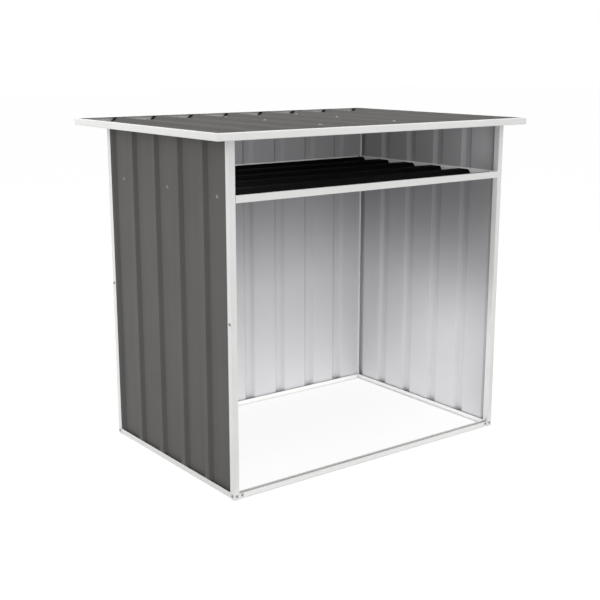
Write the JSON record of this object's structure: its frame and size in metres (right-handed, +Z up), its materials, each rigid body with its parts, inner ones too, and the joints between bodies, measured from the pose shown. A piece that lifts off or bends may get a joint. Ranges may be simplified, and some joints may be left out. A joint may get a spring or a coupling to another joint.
{
  "type": "metal log store",
  "caption": "Open-fronted steel log store with ribbed sheet walls in a folded channel frame, a flat ribbed roof with edge trim and a ribbed shelf under it.",
  "frame": {"origin": "on the ground, under the middle of the roof's plan", "axes": "+Z up, X along the width, -Y out of the open front"},
  "size_m": [1.52, 1.084, 1.345],
  "materials": {
    "frame_white": "satin off-white paint on folded steel",
    "sheet_grey": "satin dark grey paint outside, pale grey back coat inside",
    "shelf_black": "matte black paint on ribbed steel"
  },
  "bodies": {
    "root": {"floor_rail_front_left": "frame_white", "floor_rail_front_right": "frame_white", "floor_splice_front": "frame_white", "floor_rail_back_left": "frame_white", "floor_rail_back_right": "frame_white", "floor_rail_left": "frame_white", "floor_rail_right": "frame_white", "post_front_left": "frame_white", "post_front_right": "frame_white", "post_back_left": "frame_white", "post_back_right": "frame_white", "left_wall": "sheet_grey", "right_wall": "sheet_grey", "back_wall": "sheet_grey", "top_rail_front": "frame_white", "top_rail_back": "frame_white", "top_rail_left": "frame_white", "top_rail_right": "frame_white", "purlin_front": "frame_white", "purlin_middle": "frame_white", "purlin_back": "frame_white", "roof_sheet": "sheet_grey", "roof_trim_front": "frame_white", "roof_trim_back": "frame_white", "roof_trim_left": "frame_white", "roof_trim_right": "frame_white", "shelf_rail_front": "frame_white", "shelf_rail_back": "frame_white", "shelf_rail_left": "frame_white", "shelf_rail_right": "frame_white", "shelf_sheet": "shelf_black"}
  },
  "joints": []
}
